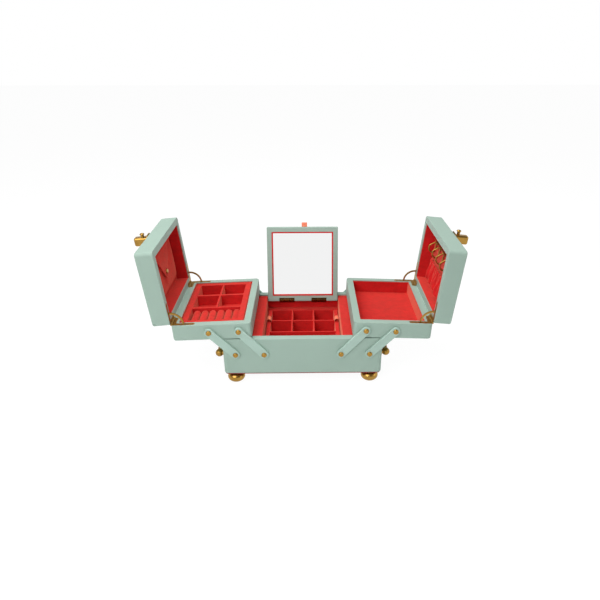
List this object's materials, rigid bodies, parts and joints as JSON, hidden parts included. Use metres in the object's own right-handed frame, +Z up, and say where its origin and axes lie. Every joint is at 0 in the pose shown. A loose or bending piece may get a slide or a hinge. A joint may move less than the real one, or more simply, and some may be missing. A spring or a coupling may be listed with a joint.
{
  "type": "vanity box with mirror",
  "caption": "Two-sided cantilever vanity box standing open: lidded tray boxes on folding arms over a base with a lift-out tray under a framed mirror lid.",
  "frame": {"origin": "on the table, under the middle of the open box's overall width and depth; the base's own middle is at y = -7.5 mm", "axes": "+X to the right, across both tray boxes; +Y to the back, towards the mirror; +Z up"},
  "size_m": [0.5454, 0.2014, 0.2388],
  "materials": {
    "green_cover": "sage green grained leatherette over board, satin",
    "red_suede": "coral red suede cloth, matt",
    "coral_ribbon": "coral satin ribbon",
    "red_felt": "red felt on the underside",
    "brass": "polished brass",
    "mirror": "silvered glass"
  },
  "bodies": {
    "base": {"base_case": "green_cover", "base_felt": "red_felt", "feet": "brass", "left_ledge": "red_suede", "right_ledge": "red_suede", "well_lining": "red_suede", "base_rivets": "brass", "left_handle": "brass", "right_handle": "brass", "mirror_wall_leaves": "brass", "mirror_pins": "brass"},
    "well_tray": {"well_tray": "red_suede", "well_tray_ribbons": "coral_ribbon"},
    "mirror_lid": {"mirror_frame": "green_cover", "mirror_trim": "red_suede", "mirror_glass": "mirror", "mirror_ribbon": "coral_ribbon", "mirror_frame_leaves": "brass"},
    "left_outer_arms": {"left_outer_arm_front": "green_cover", "left_outer_arm_rear": "green_cover"},
    "left_inner_arms": {"left_inner_arm_front": "green_cover", "left_inner_arm_rear": "green_cover"},
    "left_tray": {"left_tray_case": "green_cover", "left_tray_lining": "red_suede", "left_tray_hinge_leaves": "brass", "left_hinge_pins": "brass", "left_tray_rivets": "brass"},
    "left_lid": {"left_lid_case": "green_cover", "left_lid_lining": "red_suede", "left_lid_hinge_leaves": "brass", "left_clasp_block": "brass", "left_clasp_knob": "brass", "left_pocket": "red_suede"},
    "left_stays": {"left_lid_stays": "brass"},
    "right_outer_arms": {"right_outer_arm_front": "green_cover", "right_outer_arm_rear": "green_cover"},
    "right_inner_arms": {"right_inner_arm_front": "green_cover", "right_inner_arm_rear": "green_cover"},
    "right_tray": {"right_tray_case": "green_cover", "right_tray_lining": "red_suede", "right_tray_hinge_leaves": "brass", "right_hinge_pins": "brass", "right_tray_rivets": "brass"},
    "right_lid": {"right_lid_case": "green_cover", "right_lid_lining": "red_suede", "right_lid_hinge_leaves": "brass", "right_clasp_block": "brass", "right_clasp_knob": "brass", "right_pocket": "red_suede", "right_pocket_edge": "red_suede", "right_hooks": "brass"},
    "right_stays": {"right_lid_stays": "brass"},
    "left_insert": {"left_insert": "red_suede", "ring_rolls": "red_suede"},
    "pocket_flap": {"pocket_flap": "red_suede", "flap_snap": "brass"}
  },
  "joints": [
    {"name": "left_swing", "type": "hinge", "parent": "base", "child": "left_outer_arms", "pos_m": [-0.109, -0.00751, 0.06], "axis": [0, -1, 0], "range_deg": [-18, 0]},
    {"name": "left_inner_swing", "type": "hinge", "parent": "base", "child": "left_inner_arms", "pos_m": [-0.0625, -0.00751, 0.06], "axis": [0, -1, 0], "range_deg": [-17.6, 0]},
    {"name": "left_tray_pivot", "type": "hinge", "parent": "left_outer_arms", "child": "left_tray", "pos_m": [-0.14909, -0.00751, 0.10108], "axis": [0, -1, 0], "range_deg": [0, 17.4]},
    {"name": "left_lid_hinge", "type": "hinge", "parent": "left_tray", "child": "left_lid", "pos_m": [-0.20848, -0.00751, 0.11271], "axis": [0, -1, 0], "range_deg": [-93.5, 0]},
    {"name": "left_stay_slide", "type": "hinge", "parent": "left_tray", "child": "left_stays", "pos_m": [-0.20848, -0.00751, 0.11271], "axis": [0, -1, 0], "range_deg": [-46.8, 0]},
    {"name": "right_swing", "type": "hinge", "parent": "base", "child": "right_outer_arms", "pos_m": [0.109, -0.00751, 0.06], "axis": [0, 1, 0], "range_deg": [-18, 0]},
    {"name": "right_inner_swing", "type": "hinge", "parent": "base", "child": "right_inner_arms", "pos_m": [0.0625, -0.00751, 0.06], "axis": [0, 1, 0], "range_deg": [-17.6, 0]},
    {"name": "right_tray_pivot", "type": "hinge", "parent": "right_outer_arms", "child": "right_tray", "pos_m": [0.14909, -0.00751, 0.10108], "axis": [0, 1, 0], "range_deg": [0, 17.4]},
    {"name": "right_lid_hinge", "type": "hinge", "parent": "right_tray", "child": "right_lid", "pos_m": [0.20848, -0.00751, 0.11271], "axis": [0, 1, 0], "range_deg": [-93.5, 0]},
    {"name": "right_stay_slide", "type": "hinge", "parent": "right_tray", "child": "right_stays", "pos_m": [0.20848, -0.00751, 0.11271], "axis": [0, 1, 0], "range_deg": [-46.8, 0]},
    {"name": "mirror_hinge", "type": "hinge", "parent": "base", "child": "mirror_lid", "pos_m": [0, 0.06199, 0.08], "axis": [-1, 0, 0], "range_deg": [-105, 0]},
    {"name": "well_tray_lift", "type": "slide", "parent": "base", "child": "well_tray", "axis": [0, 0, 1], "range_m": [0, 0.06]},
    {"name": "left_insert_lift", "type": "slide", "parent": "left_tray", "child": "left_insert", "axis": [-0.0366, 0, 0.9993], "range_m": [0, 0.026]},
    {"name": "pocket_flap_fold", "type": "hinge", "parent": "left_lid", "child": "pocket_flap", "pos_m": [-0.23361, -0.00751, 0.21374], "axis": [0, -1, 0], "range_deg": [0, 100]}
  ],
  "couplings": [
    {"joint": "left_inner_swing", "follows": "left_swing", "ratio": 0.9708},
    {"joint": "left_tray_pivot", "follows": "left_swing", "ratio": -0.96},
    {"joint": "left_stay_slide", "follows": "left_lid_hinge", "ratio": 0.5},
    {"joint": "right_inner_swing", "follows": "right_swing", "ratio": 0.9708},
    {"joint": "right_tray_pivot", "follows": "right_swing", "ratio": -0.96},
    {"joint": "right_stay_slide", "follows": "right_lid_hinge", "ratio": 0.5}
  ]
}
